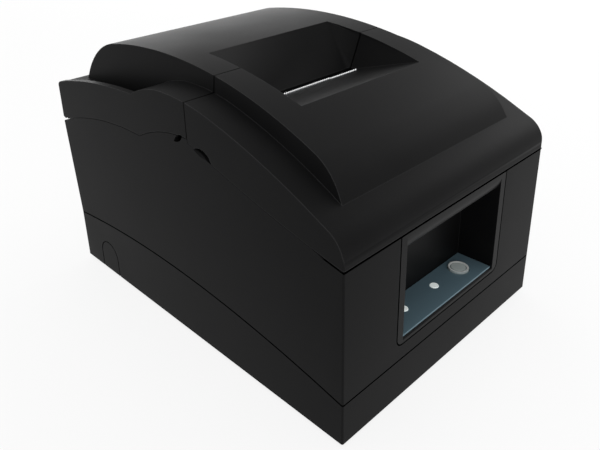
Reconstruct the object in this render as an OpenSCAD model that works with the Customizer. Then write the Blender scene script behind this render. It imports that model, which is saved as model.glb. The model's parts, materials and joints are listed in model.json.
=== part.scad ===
// A desktop impact receipt printer for narrow rolls: a black case with a hinged ribbon cover in
// front and a hinged roll cover behind, a printing mechanism, a roll bucket and a control panel.
// Lengths are millimetres. Inside the modules Y runs back from the front face and Z up from the
// bottom of the base; bench() then sets the middle of the footprint at the origin.

/* [Case] */
// Width over the side walls
case_w = 158.4; // [156:0.2:166]
// Depth from the front face to the back of the roll cover
case_d = 222; // [218:0.5:226]
// Thickness of the moulded walls
wall = 2.4; // [2.2:0.1:2.6]
// Radius of the upright corners
corner_r = 0.9; // [0.8:0.1:2.5]
// Width of the parting lines
seam_gap = 0.6; // [0.5:0.1:0.8]
// Height of the rubber feet below the base
foot_h = 2.5; // [2:0.5:4]
// Radius of a rubber foot
foot_r = 6; // [5:0.5:8]
// Highest point of the base's arched seam
arch_z = 36.3; // [35:0.1:37]
// Radius of the base's arched seam
arch_r = 641; // [600:1:700]
// How far the base's back stands in from the back of the covers
base_inset = 5; // [4:0.5:7]

/* [Covers] */
// Height of the seam under the front cover
seam_z = 87.1; // [86:0.1:88]
// Radius of the front cover's nose
nose_r = 14.5; // [13:0.5:16]
// Height of the shoulders at their crest
shoulder_z = 134.4; // [133:0.1:136]
// Distance from the front face to the crest of the shoulders
shoulder_y = 112; // [110:0.5:114]
// Radius of the shoulders' long front part
shoulder_r = 330; // [300:5:360]
// Radius of the shoulders just in front of their crest
crown_r = 130; // [120:1:140]
// Radius of the shoulders behind their crest
crest_r = 56; // [52:1:60]
// Height of the rear ears of the roll cover
ear_z = 127.3; // [126:0.1:128]
// Thickness of the rear ears
ear_t = 3.4; // [3:0.1:4]
// Height of the trough between an ear and the raised lid
trough_z = 117.4; // [116:0.1:119]
// Height of the raised lid at its crest
lid_z = 145.4; // [144:0.1:147]
// Radius of the raised lid along its length
lid_r = 280; // [270:1:300]
// Radius of the raised lid's front end
lid_nose_r = 30; // [26:1:34]
// Half width of the raised lid at its foot
lid_half = 64.8; // [63:0.1:65.5]
// How far each side wall of the raised lid leans in per millimetre of height
lid_draft = 0.108; // [0.06:0.002:0.13]
// Distance from the front face to the seam between the two covers
split_y = 94; // [93:0.5:95]
// Height of the lower edge of the roll cover's skirt at its highest point
skirt_z = 115.5; // [115:0.1:116]

/* [Well] */
// Half width of the well at its rim
well_half = 44.6; // [43:0.1:46]
// Front edge of the well
well_front = 54; // [52:0.5:56]
// Rear edge of the well
well_back = 118.5; // [117:0.5:121]
// Half width of the paper slot
slot_half = 40; // [39.5:0.1:41]
// Front edge of the paper slot
slot_front = 88.8; // [88.6:0.1:89]
// Height of the paper slot's lips
slot_z = 122.4; // [121.5:0.1:123]
// Height of the tear bar
bar_h = 6; // [5:0.5:7]
// Thickness of the tear bar
bar_t = 0.8; // [0.6:0.1:1]

/* [Window] */
// Half width of the bezel round the window
bezel_half = 42.6; // [42:0.1:44]
// Bottom of the bezel
bezel_z = 29.8; // [29:0.1:30.5]
// Half width of the window
window_half = 38.5; // [38:0.1:39]
// Depth of the window's niche
niche_d = 20; // [18:0.5:21]
// Height of the niche's floor
niche_floor = 32; // [31.5:0.1:32.5]
// Height at which the window's brow starts to curve in
brow_z = 84; // [82:0.1:85]
// Radius of the window's brow
brow_r = 9.5; // [8:0.1:11]
// Thickness of the control panel
panel_t = 0.9; // [0.7:0.1:1.2]
// Radius of the feed button
button_r = 5.2; // [4.6:0.1:5.6]
// Travel of the feed button
button_travel = 1.2; // [0.8:0.1:1.5]
// Radius of an indicator lens
lens_r = 2.2; // [1.8:0.1:2.4]

/* [Mechanism] */
// Height of the mechanism's base plate
chassis_z = 34; // [33.5:0.1:34.5]
// Thickness of the mechanism's steel plates
plate_t = 1.2; // [1:0.1:1.5]
// Half width between the mechanism's side frames
frame_half = 54; // [53.5:0.1:55]
// Height of the print line
line_z = 84; // [83.5:0.1:84.5]
// Distance from the front face to the platen
platen_y = 84.2; // [84:0.1:84.6]
// Travel of the carriage
carriage_travel = 63; // [55:1:63]
// Radius of the guide shaft
shaft_r = 3; // [2.5:0.1:3.2]
// Radius of the print head's heat sink
head_r = 13.5; // [12:0.5:13.5]
// Radius of the belt pulleys at the belt
pulley_r = 5.5; // [5:0.1:6]
// Radius of the paper feed rollers
feed_r = 6; // [5.5:0.1:6.2]
// Radius of the pressure rollers
pinch_r = 4; // [3.6:0.1:4.2]
// Gear module
gear_m = 1; // [0.98:0.01:1.02]
// Teeth on the feed gear
feed_teeth = 32; // [30:1:32]
// Teeth on the idler gear
idler_teeth = 30; // [28:1:30]
// Teeth on the motor pinion
pinion_teeth = 14; // [14:1:16]
// Width of the gears
gear_w = 5; // [4:0.5:5]
// Radius of the feed motor
motor_r = 12.5; // [11:0.5:12.5]

/* [Roll bucket] */
// Radius inside the roll bucket
bucket_r = 44; // [42:0.5:44.5]
// Half width inside the roll bucket
bucket_half = 40.5; // [40:0.5:42]
// Wall of the roll bucket
bucket_t = 1.8; // [1.5:0.1:2]

/* [Electronics] */
// Height of the main board above the floor
board_gap = 5; // [4:0.5:6]
// Thickness of the circuit boards
board_t = 1.6; // [1.2:0.1:2]

/* [Hidden] */
$fn = 64;

// Clearances: a running fit, a loose gap between fixed pieces, and a cut's overshoot
running = 0.05;
loose = 0.3;
eps = 1;

// Outline helpers
function arc(c, r, a0, a1, n) = [for (i = [0 : n]) let (a = a0 + (a1 - a0) * i / n)
    c + r * [cos(a), sin(a)]];
function unit(v) = v / norm(v);
// Moves each side of a counter-clockwise outline inwards by t
function inset(p, t) = [for (i = [0 : len(p) - 1]) let (
    n = len(p),
    u = unit(p[i] - p[(i + n - 1) % n]),
    v = unit(p[(i + 1) % n] - p[i]),
    w = [-u[1] - v[1], u[0] + v[0]])
    p[i] + w * 2 * t / (w * w)];
// Centre height of a circle of radius r that touches a larger one from inside
function nested(big_r, r, dy) = sqrt((big_r - r) * (big_r - r) - dy * dy);

module bench() translate([0, -case_d / 2, foot_h]) children();
// Sweeps an outline of (y, z) across the machine, from x0 to x1
module across(x0, x1) translate([x0, 0, 0]) rotate([90, 0, 90]) linear_extrude(x1 - x0) children();
module both_sides() {
    children();
    mirror([1, 0, 0]) children();
}
// A rod along X through the point (y, z)
module rod(y, z, r, x0, x1) translate([x0, y, z]) rotate([0, 90, 0]) cylinder(r = r, h = x1 - x0);
// A block between two corners
module block(a, b) translate(a) cube(b - a);
module rounded(x0, y0, x1, y1, r) {
    translate([x0 + r, y0]) square([x1 - x0 - 2 * r, y1 - y0]);
    translate([x0, y0 + r]) square([x1 - x0, y1 - y0 - 2 * r]);
    for (x = [x0 + r, x1 - r], y = [y0 + r, y1 - r])
        translate([x, y]) circle(r);
}

// Covers: outlines seen from the side
lid_low = 60;
nose_c = [nose_r, 89];
nose_a = 120.5;
crest_c = [shoulder_y, shoulder_z - crest_r];
crest_end = 16;
crown_c = [shoulder_y, shoulder_z - crown_r];
crown_a = 105.3;
shoulder_c = crown_c - (shoulder_r - crown_r) * [cos(crown_a), sin(crown_a)];
shoulder_a = 115.6;
function shoulder(low) = concat(
    [[0, low], [crest_c[0] + crest_r * cos(crest_end), low]],
    arc(crest_c, crest_r, crest_end, 90, 14),
    arc(crown_c, crown_r, 93, crown_a, 5),
    arc(shoulder_c, shoulder_r, crown_a + 2, shoulder_a, 5),
    arc(nose_c, nose_r, nose_a, 180, 12));

ear_y = case_d - 82;
ear_r = 333;
ear_start = 91;
ear_c = [ear_y, ear_z - ear_r];
ear_corner_r = 5;
ear_corner = [case_d - ear_corner_r,
    ear_c[1] + nested(ear_r, ear_corner_r, case_d - ear_corner_r - ear_y)];
ear_a = atan2(ear_corner[1] - ear_c[1], ear_corner[0] - ear_c[0]);
function ear(low) = concat([[ear_c[0] + ear_r * cos(ear_start), low], [case_d, low]],
    arc(ear_corner, ear_corner_r, 0, ear_a, 8), arc(ear_c, ear_r, ear_a + 1, ear_start, 8));
// The lower edge of the roll cover's skirt: a bump, then a long arc to the back
bump_r = 81.2;
bump_c = [96.8, skirt_z - bump_r];
bump_a = [60, 92];
tail_r = 217;
tail_c = [case_d - 75, skirt_z - 9.3 - tail_r];
tail_a = [69, 93.5];
function segment(c, r, a, low) = concat([[c[0] + r * cos(a[1]), low], [c[0] + r * cos(a[0]), low]],
    arc(c, r, a[0], a[1], 10));

trough_corner_r = 4;
function trough(low) = concat([[shoulder_y, low], [case_d, low]],
    arc([case_d - trough_corner_r, trough_z - trough_corner_r], trough_corner_r, 0, 90, 6),
    [[shoulder_y, trough_z]]);

lid_y = case_d - 80;
lid_back_r = 37;
lid_back = case_d - 6.6;
lid_nose_y = 30;
lid_face_a = 152;
lid_c = [lid_y, lid_z - lid_r];
lid_back_c = [lid_back - lid_back_r,
    lid_c[1] + nested(lid_r, lid_back_r, lid_back - lid_back_r - lid_y)];
lid_back_a = atan2(lid_back_c[1] - lid_c[1], lid_back_c[0] - lid_c[0]);
lid_nose_a = 90 + asin((lid_y - lid_nose_y) / lid_r);
lid_nose_c = lid_c + (lid_r - lid_nose_r) * [cos(lid_nose_a), sin(lid_nose_a)];
lid_face_top = lid_nose_c + lid_nose_r * [cos(lid_face_a), sin(lid_face_a)];
lid_face_low = 96;
lid_front = 10.5;
lid_face_y = lid_face_top[0] - (lid_face_top[1] - lid_face_low) / tan(lid_face_a - 90);
function lid(low) = concat([[lid_face_y, low], [lid_back, low]],
    arc(lid_back_c, lid_back_r, 0, lid_back_a, 14),
    arc(lid_c, lid_r, lid_back_a + 1.5, lid_nose_a - 1.5, 20),
    arc(lid_nose_c, lid_nose_r, lid_nose_a + 3, lid_face_a, 11),
    [[lid_face_y, lid_face_low]]);

// Half width of the raised lid at a height
function lid_side(z) = lid_half - (z - 103) * lid_draft;
module lid_sides(t) rotate([90, 0, 0]) translate([0, 0, -case_d - eps]) linear_extrude(case_d + 2 * eps)
    polygon([[-lid_side(lid_low) + t, lid_low], [lid_side(lid_low) - t, lid_low],
        [lid_side(lid_z + eps) - t, lid_z + eps], [-lid_side(lid_z + eps) + t, lid_z + eps]]);
// Rounds the raised lid's front corners, seen from above
lid_corner_r = 4;
module lid_plan(t) linear_extrude(lid_z + eps)
    rounded(-lid_half - 0.6 + t, lid_front + t, lid_half + 0.6 - t, case_d + 2 * lid_corner_r, lid_corner_r - t);

// Height of the seam under the front cover at a distance from the front
seam_slope = 0.2;
seam_curve = 0.00088;
function seam(y) = seam_z + seam_slope * y + seam_curve * y * y;
// The seam is wide across the front and close along the sides
front_end = 12;
side_close = 0.35;
skirt_close = 0.5;
// Everything that belongs to the covers, seen from the side, lowered by g
module cover_zone(g) {
    polygon(concat([for (y = [-4 : 7 : split_y]) [y, seam(y) - g * (y > front_end ? side_close : 1)]],
        [[split_y, seam(split_y) - g * side_close], [split_y, lid_z + eps], [-4, lid_z + eps]]));
    difference() {
        translate([split_y, lid_low]) square([case_d + base_inset - split_y, lid_z + eps - lid_low]);
        translate([0, -g * skirt_close]) {
            polygon(segment(bump_c, bump_r, bump_a, lid_low - 2 * wall));
            polygon(segment(tail_c, tail_r, tail_a, lid_low - 2 * wall));
        }
    }
}

corner_in = 0.4;
module plan(inner) linear_extrude(lid_z + eps)
    rounded(-case_w / 2 + inner, inner, case_w / 2 - inner, case_d - inner, max(corner_in, corner_r - inner / 2));

// Rear hinge
hinge_r = 3;
pin_r = 1;
hinge_y = case_d - hinge_r;
hinge_z = 97.7;
lug_x = 52;
lug_w = 8;
pin_l = 18;

// The funnel of the well
slot_back = slot_front + 6.5;
slot_corner = 6.4;
well_t = 1.8;
function lid_top(y) = lid_c[1] + sqrt(lid_r * lid_r - (y - lid_y) * (y - lid_y));
module well_funnel(t) hull() {
    well_a = atan2(lid_top(well_back) - lid_top(well_front), well_back - well_front);
    translate([0, well_front, lid_top(well_front)]) rotate([well_a, 0, 0])
        translate([-well_half - t, -t, 0])
        cube([2 * (well_half + t), (well_back - well_front) / cos(well_a) + 2 * t, 6]);
    for (x = [-slot_half - t + slot_corner, slot_half + t - slot_corner])
        for (y = [slot_front - t + slot_corner / 2, slot_back + t - slot_corner / 2])
        translate([x, y, slot_z - t]) cylinder(r = slot_corner / 2, h = 0.2, $fn = 48);
}
lip_deep = 7;
module well_slot(t, h) translate([0, 0, slot_z - h]) linear_extrude(h + 0.1)
    rounded(-slot_half - t, slot_front - t, slot_half + t, slot_back + t, slot_corner / 2);

// Front hinge: curved tongues that turn in slots about a line just behind the front face
tongue_y = 1.4;
tongue_z = seam_z + 1.4;
tongue_in = 6;
tongue_out = 7.6;
tongue_x = 61;
tongue_w = 7;
edge_swing = norm([tongue_y, tongue_z - seam_z]) + 0.2;
tongue_low = -76;
tongue_high = 70;
module ring_part(r0, r1, a0, a1, x0, x1) translate([x0, tongue_y, tongue_z]) rotate([90, 0, 90])
    rotate([0, 0, a0]) rotate_extrude(angle = a1 - a0) translate([r0, 0]) square([r1 - r0, x1 - x0]);

module cover_outer() {
    across(-case_w / 2 + ear_t, case_w / 2 - ear_t) {
        polygon(shoulder(lid_low));
        polygon(trough(lid_low));
    }
    both_sides() across(case_w / 2 - ear_t, case_w / 2) {
        polygon(shoulder(lid_low));
        polygon(ear(lid_low));
    }
    intersection() {
        across(-case_w / 2, case_w / 2) polygon(lid(lid_low));
        lid_sides(0);
        lid_plan(0);
    }
}
module cover_inner() {
    across(-case_w / 2 + wall, case_w / 2 - wall) {
        polygon(inset(shoulder(lid_low - 2 * wall), wall));
        polygon(inset(trough(lid_low - 2 * wall), wall));
    }
    intersection() {
        across(-case_w / 2, case_w / 2) polygon(inset(lid(lid_low - 2 * wall), wall));
        lid_sides(wall);
        lid_plan(wall);
    }
}
module cover_shell() difference() {
    intersection() {
        difference() {
            cover_outer();
            difference() {
                cover_inner();
                intersection() {
                    union() {
                        well_funnel(well_t);
                        well_slot(well_t, lip_deep);
                    }
                    cover_outer();
                }
            }
        }
        plan(0);
        across(-case_w / 2, case_w / 2) cover_zone(0);
    }
    well_funnel(0);
    well_slot(0, lip_deep + eps);
}

split_gap = 0.35;

// Finger scoop in the front cover's skirt
scoop_y = 84.6;
scoop_w = 12.4;
scoop_h = 2.8;
scoop_r = (scoop_w * scoop_w / 4 + scoop_h * scoop_h) / (2 * scoop_h);
module scoop(h, x0, x1) across(x0, x1)
    translate([scoop_y, seam(scoop_y) + h - scoop_r]) circle(scoop_r);
// The body's edge below the scoop slopes outwards
scoop_lean = 42;
scoop_drop = 1.1;
scoop_lip_r = (scoop_w * scoop_w / 4 + scoop_drop * scoop_drop) / (2 * scoop_drop);
module scoop_lip() translate([case_w / 2, scoop_y + 1, seam(scoop_y + 1) - seam_gap * side_close - scoop_drop])
    rotate([atan(seam_slope + 2 * seam_curve * scoop_y), 0, 0]) rotate([0, scoop_lean, 0])
    translate([-2 * scoop_w, 0, scoop_lip_r]) rotate([0, 90, 0]) cylinder(r = scoop_lip_r, h = 4 * scoop_w);
// Lens-shaped finger slit between the roll cover's skirt and the body
slit_y = 101;
slit_z = 113.7;
slit_l = 8.6;
slit_a = -33;
slit_r = 7;
module slit(x0, x1) across(x0, x1) translate([slit_y, slit_z]) rotate([0, 0, slit_a]) intersection() {
    translate([0, -sqrt(slit_r * slit_r - slit_l * slit_l / 4)]) circle(slit_r);
    translate([0, sqrt(slit_r * slit_r - slit_l * slit_l / 4)]) circle(slit_r);
}

rib_t = 1.4;
bar_y = slot_front - bar_t;
bar_half = slot_half - 4.8;
bar_top = slot_z + 1.4;
module front_cover() color("#1c1d1f") bench() {
    difference() {
        cover_shell();
        block([-case_w, split_y - split_gap / 2, 0], [case_w, case_d + eps, lid_z + 2 * eps]);
        both_sides() scoop(scoop_h, case_w / 2 - wall - eps, case_w / 2 + eps);
        block([-bar_half - loose, bar_y, slot_z - lip_deep - eps], [bar_half + loose, slot_front + eps, bar_top + eps]);
    }
    both_sides() ring_part(tongue_in, tongue_out, tongue_low, tongue_high, tongue_x, tongue_x + tongue_w);
}

module rear_cover() color("#1c1d1f") bench() difference() {
    union() {
        difference() {
            cover_shell();
            block([-case_w, -eps, 0], [case_w, split_y + split_gap / 2, lid_z + 2 * eps]);
            block([-case_w, hinge_y - hinge_r, 0], [case_w, case_d + eps, hinge_z]);
            both_sides() slit(case_w / 2 - wall - eps, case_w / 2 + eps);
        }
        intersection() {
            union() {
                rod(hinge_y, hinge_z, hinge_r, -case_w / 2, case_w / 2);
                block([-case_w / 2, case_d - wall - 0.4, hinge_z], [case_w / 2, case_d, hinge_z + 2]);
            }
            plan(0);
        }
    }
    both_sides() {
        block([lug_x - loose, hinge_y - hinge_r - eps, hinge_z - hinge_r - eps],
            [lug_x + lug_w + loose, case_d + eps, hinge_z + hinge_r + loose]);
        rod(hinge_y, hinge_z, pin_r + running, lug_x - pin_l / 2, lug_x + pin_l / 2 + lug_w);
    }
}

module rear_hinge_pins() color("#b9bcc0") bench() both_sides()
    rod(hinge_y, hinge_z, pin_r, lug_x + (lug_w - pin_l) / 2, lug_x + (lug_w + pin_l) / 2);

bar_low = bar_top - bar_h;
// The toothed edge stands a little lower right of a step
tooth_n = 47;
tooth_h = 0.7;
bar_step_x = 13;
bar_step = 0.3;
function bar_edge(x) = bar_top - (x > bar_step_x ? bar_step : 0);
module tear_bar() color("#c9ccd0") bench() translate([0, bar_y + bar_t, 0]) rotate([90, 0, 0])
    linear_extrude(bar_t) polygon(concat([[-bar_half, bar_low], [bar_half, bar_low]],
        [for (i = [2 * tooth_n : -1 : 0]) let (x = -bar_half + i * bar_half / tooth_n)
            [x, bar_edge(x) - (i % 2 == 0 ? tooth_h : 0)]]));

// Case: the base and the body meet at an arched seam
arch_y = 137;
base_d = case_d - base_inset;
arch_c = [arch_y, arch_z - arch_r];
function arch(y) = arch_c[1] + sqrt(arch_r * arch_r - (y - arch_y) * (y - arch_y));
body_back_z = 94.5;
body_back = case_d + 0.2;
function arch_points(y0, y1, g) = [for (i = [0 : 20]) let (y = y0 + (y1 - y0) * i / 20) [y, arch(y) + g]];
lip_h = 2;
lip_t = wall / 2;
module base_side(inner, rise) polygon(concat([[inner, -eps * (inner > 0 ? -2 : 0)], [base_d - inner, 0]],
    [for (i = [20 : -1 : 0]) arch_points(inner, base_d - inner, rise)[i]]));
module base_plan(inner, r) linear_extrude(arch_z + 3 * lip_h)
    rounded(-case_w / 2 + inner, inner, case_w / 2 - inner, base_d - inner, r);

post_r = 4;
screw_r = 1.5;
screw_head_r = 2.9;
column_x = case_w / 2 - 11;
column_y = [12, base_d - 14];
foot_in = 19;
foot_sink = 1;
mech_post_x = 50;
mech_post_y = [27, 106];
bucket_post_x = bucket_half + bucket_t + 5;
bucket_y = case_d - 57;
bucket_z = 74;
bucket_post_y = [bucket_y - 32, bucket_y + 26];
bucket_ear_z = 60;
board_x = case_w / 2 - 17;
board_y0 = 34;
board_y1 = base_d - 16;
board_z = wall + board_gap;
board_post_x = board_x - 5;
board_post_y = [board_y0 + 34, board_y1 - 24];
post_hole = 1.2;

module at_columns() for (x = [-column_x, column_x], y = column_y) translate([x, y, 0]) children();
module at_mech_posts() for (x = [-mech_post_x, mech_post_x], y = mech_post_y) translate([x, y, 0]) children();
module at_bucket_posts() for (x = [-bucket_post_x, bucket_post_x], y = bucket_post_y) translate([x, y, 0])
    children();
module at_board_posts() for (x = [-board_post_x, board_post_x], y = board_post_y) translate([x, y, 0])
    children();
module at_feet() for (x = [-case_w / 2 + foot_in, case_w / 2 - foot_in], y = [foot_in, base_d - foot_in])
    translate([x, y, 0]) children();

// Rear ports, from left to right as seen from the front
port_z = board_z + board_t;
parallel_x = -8;
parallel_w = 58;
parallel_h = 12;
inlet_x = case_w / 2 - 25.2;
inlet_w = 15;
inlet_h = 12;
jack_x = inlet_x - 22;
jack_w = 14;
jack_h = 13;
switch_x = 29.2 - case_w / 2;
switch_w = 13;
switch_h = 19.5;
switch_z = 7;
port_gap = 0.4;
module port_hole(x, w, z, h) block([x - w / 2 - port_gap, base_d - wall - eps, z - port_gap],
    [x + w / 2 + port_gap, base_d + eps, z + h + port_gap]);

// Cable knock-out in the left wall, marked by a groove
knock_y = 188;
knock_w = 19;
knock_h = 20.5;
groove_w = 0.7;
groove_d = 0.9;
module knock_shape(g) {
    translate([knock_y - knock_w / 2 + g, -eps]) square([knock_w - 2 * g, knock_h - knock_w / 2 + eps]);
    translate([knock_y, knock_h - knock_w / 2]) circle(knock_w / 2 - g);
}

module base_case() color("#1b1c1e") bench() {
    difference() {
        union() {
            intersection() {
                base_plan(0, corner_r);
                across(-case_w / 2, case_w / 2) base_side(0, -seam_gap / 2);
            }
            // Tongue inside the seam
            intersection() {
                base_plan(lip_t + loose / 2, max(corner_in, corner_r - lip_t / 2));
                across(-case_w / 2, case_w / 2) base_side(0, lip_h);
            }
        }
        difference() {
            base_plan(wall, max(corner_in, corner_r - wall / 2));
            block([-case_w, -eps, -eps], [case_w, case_d, wall]);
        }
        at_feet() translate([0, 0, -eps]) cylinder(r = foot_r + running, h = eps + foot_sink);
        at_columns() translate([0, 0, -eps]) {
            cylinder(r = screw_r + loose, h = 2 * wall);
            cylinder(r = screw_head_r + loose, h = eps + wall / 2);
        }
        port_hole(parallel_x, parallel_w, port_z, parallel_h);
        port_hole(inlet_x, inlet_w, port_z, inlet_h);
        port_hole(jack_x, jack_w, port_z, jack_h);
        port_hole(switch_x, switch_h, switch_z, switch_w);
        across(-case_w / 2 - eps, -case_w / 2 + groove_d) difference() {
            knock_shape(0);
            knock_shape(groove_w);
        }
    }
    difference() {
        union() {
            at_mech_posts() cylinder(r = post_r, h = chassis_z - damper_h);
            at_bucket_posts() cylinder(r = post_r, h = bucket_ear_z);
            at_board_posts() cylinder(r = post_r, h = board_z);
        }
        translate([0, 0, wall]) {
            at_mech_posts() cylinder(r = screw_r, h = case_d);
            at_bucket_posts() cylinder(r = screw_r, h = case_d);
            at_board_posts() cylinder(r = screw_r, h = case_d);
        }
    }
}

module rubber_feet() color("#0f0f10") bench() at_feet() translate([0, 0, -foot_h]) difference() {
    cylinder(r = foot_r, h = foot_h + foot_sink);
    translate([0, 0, -eps]) cylinder(r = foot_r / 3, h = eps + foot_h / 3);
}

column_bore = 14;
module case_screws() color("#a9acb0") bench() at_columns() {
    translate([0, 0, 0]) difference() {
        cylinder(r = screw_head_r, h = wall / 2);
        translate([-screw_head_r / 2, -0.4, -eps]) cube([screw_head_r, 0.8, eps + wall / 4]);
    }
    cylinder(r = screw_r, h = wall + column_bore - 2);
}

module body_side(t, low) {
    lean = (body_back - base_d) / (body_back_z - arch(base_d));
    polygon(concat([for (p = arch_points(t, base_d - t, seam_gap / 2 - low)) p],
        [[body_back - t + lean * 30, body_back_z + 30], [t, body_back_z + 30]]));
}
tool = 12;
rear_lean = atan2(body_back - base_d, body_back_z - arch(base_d));
module rear_corner_tool(r) translate([case_w / 2 - r, base_d - r, arch(base_d)]) rotate([-rear_lean, 0, 0])
    translate([0, 0, -tool]) difference() {
        cube([tool, tool, case_d / 2]);
        cylinder(r = r, h = case_d / 2);
    }
guide_h = 8.5;
guide_d = 9.4;
module body_shell() color("#1c1d1f") bench() {
    difference() {
        union() {
            difference() {
                intersection() {
                    across(-case_w / 2, case_w / 2) body_side(0, 0);
                    translate([0, 0, -eps]) linear_extrude(lid_z)
                        rounded(-case_w / 2, 0, case_w / 2, case_d + 4 * corner_r, corner_r);
                }
                across(-case_w / 2 + wall, case_w / 2 - wall) body_side(wall, 2 * wall);
                both_sides() rear_corner_tool(corner_r);
            }
            // Blocks behind the front wall that guide the front cover's tongues
            both_sides() block([tongue_x - rib_t, wall - 0.2, seam_z - seam_gap - guide_h],
                [tongue_x + tongue_w + rib_t, wall + guide_d, seam_z]);
        }
        across(-case_w / 2 - eps, case_w / 2 + eps) cover_zone(seam_gap + 0.1);
        rod(hinge_y, hinge_z, hinge_r + 0.5, -case_w / 2 - eps, case_w / 2 + eps);
        // Sloping top edge at the back
        across(-case_w / 2 - eps, case_w / 2 + eps) polygon([[case_d - 3.4, body_back_z + 0.1],
            [case_d + 1, body_back_z - 3.5], [case_d + 1, hinge_z], [case_d - 3.4, hinge_z]]);
        both_sides() {
            scoop_lip();
            slit(case_w / 2 - wall - eps, case_w / 2 + eps);
        }
        // Relief for the turning edge of the front cover
        rod(tongue_y, tongue_z, edge_swing, -case_w / 2 - eps, case_w / 2 + eps);
        both_sides() ring_part(tongue_in - 0.15, tongue_out + 0.15, -89, 60, tongue_x - loose / 2,
            tongue_x + tongue_w + loose / 2);
        // Opening for the window's bezel
        translate([0, wall + eps, 0]) rotate([90, 0, 0]) linear_extrude(wall + 2 * eps)
            rounded(-bezel_half - bezel_gap, bezel_z - bezel_gap, bezel_half + bezel_gap,
                seam_z + 2 * bezel_r, bezel_r);
        // Rebate over the base's tongue
        difference() {
            intersection() {
                linear_extrude(arch_z + 3 * lip_h)
                    rounded(-case_w / 2 + lip_t, lip_t, case_w / 2 - lip_t, base_d - lip_t, max(corner_in, corner_r - lip_t / 2));
                across(-case_w / 2, case_w / 2) base_side(0, lip_h + loose);
            }
            linear_extrude(arch_z + 3 * lip_h)
                rounded(-case_w / 2 + wall + eps, wall + eps, case_w / 2 - wall - eps, base_d - wall - eps, 1);
        }
    }
    // Screw columns in the corners, carried by the side walls
    difference() {
        union() {
            at_columns() translate([0, 0, wall]) cylinder(r = post_r, h = column_top - wall);
            for (y = column_y) both_sides()
                block([column_x, y - rib_t / 2, arch_z + 1], [case_w / 2 - wall / 2, y + rib_t / 2, column_top]);
        }
        at_columns() translate([0, 0, wall - eps]) cylinder(r = screw_r + running, h = column_bore + eps);
    }
    // Hinge lugs on the rear wall
    both_sides() difference() {
        union() {
            rod(hinge_y, hinge_z, hinge_r - 0.2, lug_x, lug_x + lug_w);
            block([lug_x, hinge_y - hinge_r + 0.2, hinge_z - 12], [lug_x + lug_w, hinge_y + 0.6, hinge_z]);
        }
        rod(hinge_y, hinge_z, pin_r, lug_x - eps, lug_x + lug_w + eps);
    }
}
column_top = 60;
bezel_gap = 0.5;
bezel_r = 4.5;

// Window bezel with its niche
niche_t = 1.6;
bezel_top = seam_z - seam_gap - 0.1;
module niche_cut() intersection() {
    across(-window_half, window_half) polygon(concat(
        [[-eps, niche_floor - 1.4], [1, niche_floor], [niche_d, niche_floor], [niche_d, brow_z - brow_r],
        [brow_r, brow_z - brow_r]],
        [for (a = [-100 : -10 : -180]) [brow_r + brow_r * cos(a), brow_z + brow_r * sin(a)]],
        [[-eps, brow_z]]));
    translate([0, niche_d + eps, 0]) rotate([90, 0, 0]) linear_extrude(niche_d + 3 * eps)
        rounded(-window_half, niche_floor - 2.2, window_half, brow_z + eps, 2);
}
button_x = 25.5;
button_y = 11.6;
lens_x = [4.2, -21.3];
lens_y = 12;
module front_bezel() color("#1e1f21") bench() difference() {
    union() {
        intersection() {
            translate([0, wall, 0]) rotate([90, 0, 0]) linear_extrude(wall)
                rounded(-bezel_half, bezel_z, bezel_half, bezel_top + bezel_r, bezel_r - bezel_gap);
            block([-case_w, 0, 0], [case_w, case_d, bezel_top]);
        }
        block([-window_half - niche_t, wall - 0.2, niche_floor - niche_t],
            [window_half + niche_t, niche_d + niche_t, bezel_top - 0.4]);
        for (x = [-window_half + 4, window_half - 4], y = [6, niche_d - 3])
            translate([x, y, button_board_z + board_t]) cylinder(r = 2, h = niche_floor - button_board_z - board_t - 1);
    }
    niche_cut();
    translate([button_x, button_y, niche_floor - 2 * niche_t]) cylinder(r = button_r + loose, h = 3 * niche_t);
    for (x = lens_x) translate([x, lens_y, niche_floor - 2 * niche_t]) cylinder(r = lens_r + loose / 3, h = 3 * niche_t);
    // Lightening pocket over the brow
    block([-window_half + 4, wall, brow_z + 0.6], [window_half - 4, niche_d + 2 * niche_t, bezel_top + eps]);
    block([-window_half + 4, brow_r + wall, brow_z - brow_r + niche_t],
        [window_half - 4, niche_d + 2 * niche_t, bezel_top + eps]);
}
button_board_z = 22;
module control_panel() color("#6f8790") bench() difference() {
    block([-window_half + 0.3, 1, niche_floor], [window_half - 0.3, niche_d - 0.3, niche_floor + panel_t]);
    translate([button_x, button_y, niche_floor - eps]) cylinder(r = button_r + loose, h = panel_t + 2 * eps);
    for (x = lens_x) translate([x, lens_y, niche_floor - eps]) cylinder(r = lens_r + loose / 3, h = panel_t + 2 * eps);
}
button_proud = 1;
switch_cap = 3.6;
module feed_button() color("#cfd6d4") bench() translate([button_x, button_y, 0]) {
    difference() {
        translate([0, 0, niche_floor - 1]) cylinder(r = button_r, h = 1 + panel_t + button_proud);
        translate([0, 0, niche_floor + panel_t + button_proud - 0.4]) difference() {
            cylinder(r = button_r - 0.9, h = eps);
            translate([0, 0, -eps]) cylinder(r = button_r - 1.5, h = 3 * eps);
        }
    }
    stem_z = button_board_z + board_t + switch_cap + button_travel + loose;
    translate([0, 0, stem_z]) cylinder(r = 2, h = niche_floor - stem_z);
    translate([0, 0, niche_floor - niche_t - 0.3 - 1.2]) cylinder(r = button_r + 1, h = 1.2);
    translate([0, 0, niche_floor - niche_t - 1]) cylinder(r = button_r - 0.2, h = 1);
}
module indicator_lenses() color("#eef3f2") bench() for (x = lens_x) translate([x, lens_y, 0]) {
    translate([0, 0, button_board_z + board_t + 1.5])
        cylinder(r = lens_r, h = niche_floor + panel_t + 0.3 - button_board_z - board_t - 1.5);
}
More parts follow.
